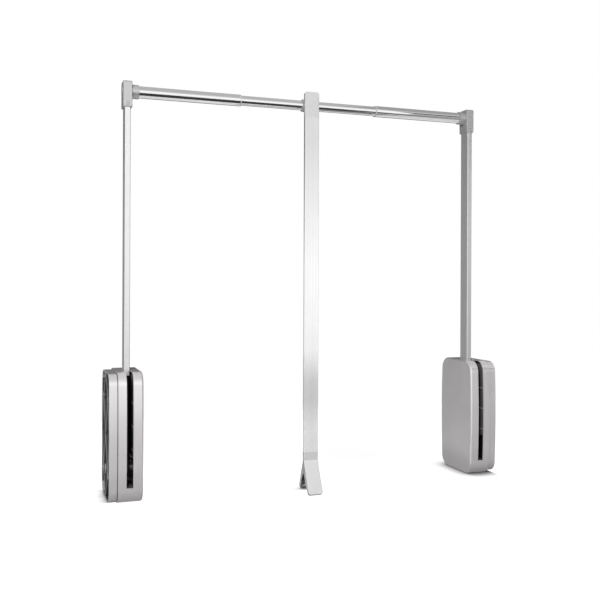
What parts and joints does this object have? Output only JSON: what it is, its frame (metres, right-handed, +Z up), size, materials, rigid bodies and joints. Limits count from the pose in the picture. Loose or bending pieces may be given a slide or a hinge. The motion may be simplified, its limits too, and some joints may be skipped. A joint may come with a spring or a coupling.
{
  "type": "pull down closet rod",
  "caption": "Pull-down wardrobe rail: sprung arms in wall housings carry a telescopic hanging rail, with a bar and forked handle to swing it down.",
  "frame": {"origin": "on the left wall face, on the axis that the arms swing about", "axes": "+X along the rail to the right wall, +Y into the wardrobe away from the user, +Z up"},
  "size_m": [0.8934, 0.14, 0.8932],
  "materials": {
    "base_moulding": "silver-grey lacquered moulding",
    "cover_moulding": "satin silver lacquer",
    "channel_moulding": "black moulding",
    "head_moulding": "satin silver lacquer",
    "arm_enamel": "satin silver enamel on tube",
    "rail_chrome": "bright chrome plate",
    "bar_anodised": "satin anodised extrusion",
    "pull_moulding": "satin silver-grey moulding",
    "sleeve_grey": "grey nylon",
    "glide_grey": "grey acetal",
    "bearing_nylon": "natural nylon",
    "carriage_moulding": "black acetal",
    "damper_body": "drawn steel tube",
    "spring_steel": "oiled spring wire",
    "ground_steel": "ground steel",
    "zinc_screws": "zinc plate",
    "cast_zinc": "die cast, tumbled",
    "stop_rubber": "moulded rubber"
  },
  "bodies": {
    "left_side": {"left_base_plate": "base_moulding", "left_housing_cover": "cover_moulding", "left_seam_screws": "zinc_screws", "left_channel": "channel_moulding", "left_pivot_pin": "ground_steel", "left_pivot_washers": "bearing_nylon", "left_damper_cylinder": "damper_body", "left_spring_guide": "bearing_nylon", "left_rest_stop": "stop_rubber", "left_down_stop": "stop_rubber", "left_spring": "spring_steel"},
    "right_side": {"right_base_plate": "base_moulding", "right_housing_cover": "cover_moulding", "right_seam_screws": "zinc_screws", "right_channel": "channel_moulding", "right_pivot_pin": "ground_steel", "right_pivot_washers": "bearing_nylon", "right_damper_cylinder": "damper_body", "right_spring_guide": "bearing_nylon", "right_rest_stop": "stop_rubber", "right_down_stop": "stop_rubber", "right_spring": "spring_steel"},
    "swing_left": {"left_arm": "arm_enamel", "left_arm_foot": "cast_zinc", "left_crank_pin": "ground_steel", "left_arm_rivets": "ground_steel", "left_arm_screw": "zinc_screws", "left_corner_head": "head_moulding", "left_head_cap": "head_moulding", "left_rail_bolt": "zinc_screws", "left_tube_plug": "bearing_nylon", "left_rail_tube": "rail_chrome", "left_tube_glide": "glide_grey"},
    "swing_right": {"right_arm": "arm_enamel", "right_arm_foot": "cast_zinc", "right_crank_pin": "ground_steel", "right_arm_rivets": "ground_steel", "right_arm_screw": "zinc_screws", "right_corner_head": "head_moulding", "right_head_cap": "head_moulding", "right_rail_bolt": "zinc_screws", "right_tube_plug": "bearing_nylon", "right_rail_tube": "rail_chrome", "right_tube_glide": "glide_grey"},
    "rail_middle": {"rail_inner_tube": "rail_chrome"},
    "pull_bar": {"pull_sleeve": "sleeve_grey", "pull_bar_head": "pull_moulding", "pull_bar": "bar_anodised", "bar_screw_upper": "zinc_screws", "bar_screw_lower": "zinc_screws", "pull_handle": "pull_moulding"},
    "left_carriage": {"left_spring_carriage": "carriage_moulding", "left_damper_carriage": "carriage_moulding", "left_damper_rod": "ground_steel"},
    "right_carriage": {"right_spring_carriage": "carriage_moulding", "right_damper_carriage": "carriage_moulding", "right_damper_rod": "ground_steel"}
  },
  "joints": [
    {"name": "width_adjust", "type": "slide", "parent": "left_side", "child": "right_side", "axis": [1, 0, 0], "range_m": [-0.229, 0]},
    {"name": "arm_swing", "type": "hinge", "parent": "left_side", "child": "swing_left", "pos_m": [0.0412, 0, 0], "axis": [1, 0, 0], "range_deg": [0, 100], "stiffness_Nm_per_rad": 8, "springref_deg": -57.3},
    {"name": "rail_half_telescope", "type": "slide", "parent": "swing_left", "child": "rail_middle", "axis": [1, 0, 0], "range_m": [-0.1145, 0]},
    {"name": "rail_full_telescope", "type": "slide", "parent": "swing_left", "child": "swing_right", "axis": [1, 0, 0], "range_m": [-0.229, 0]},
    {"name": "pull_bar_swing", "type": "hinge", "parent": "rail_middle", "child": "pull_bar", "pos_m": [0.4467, 0, 0.783], "axis": [1, 0, 0], "range_deg": [-160, 60]},
    {"name": "left_carriage_lift", "type": "slide", "parent": "left_side", "child": "left_carriage", "axis": [0, 0, 1], "range_m": [0, 0.0369], "deforming": ["left_spring"]},
    {"name": "right_carriage_lift", "type": "slide", "parent": "right_side", "child": "right_carriage", "axis": [0, 0, 1], "range_m": [0, 0.0369], "deforming": ["right_spring"]}
  ],
  "couplings": [
    {"joint": "rail_half_telescope", "follows": "width_adjust", "ratio": 0.5},
    {"joint": "rail_full_telescope", "follows": "width_adjust", "ratio": 1},
    {"joint": "left_carriage_lift", "follows": "arm_swing", "m_per_rad": 0.021068},
    {"joint": "right_carriage_lift", "follows": "arm_swing", "m_per_rad": 0.021068}
  ]
}
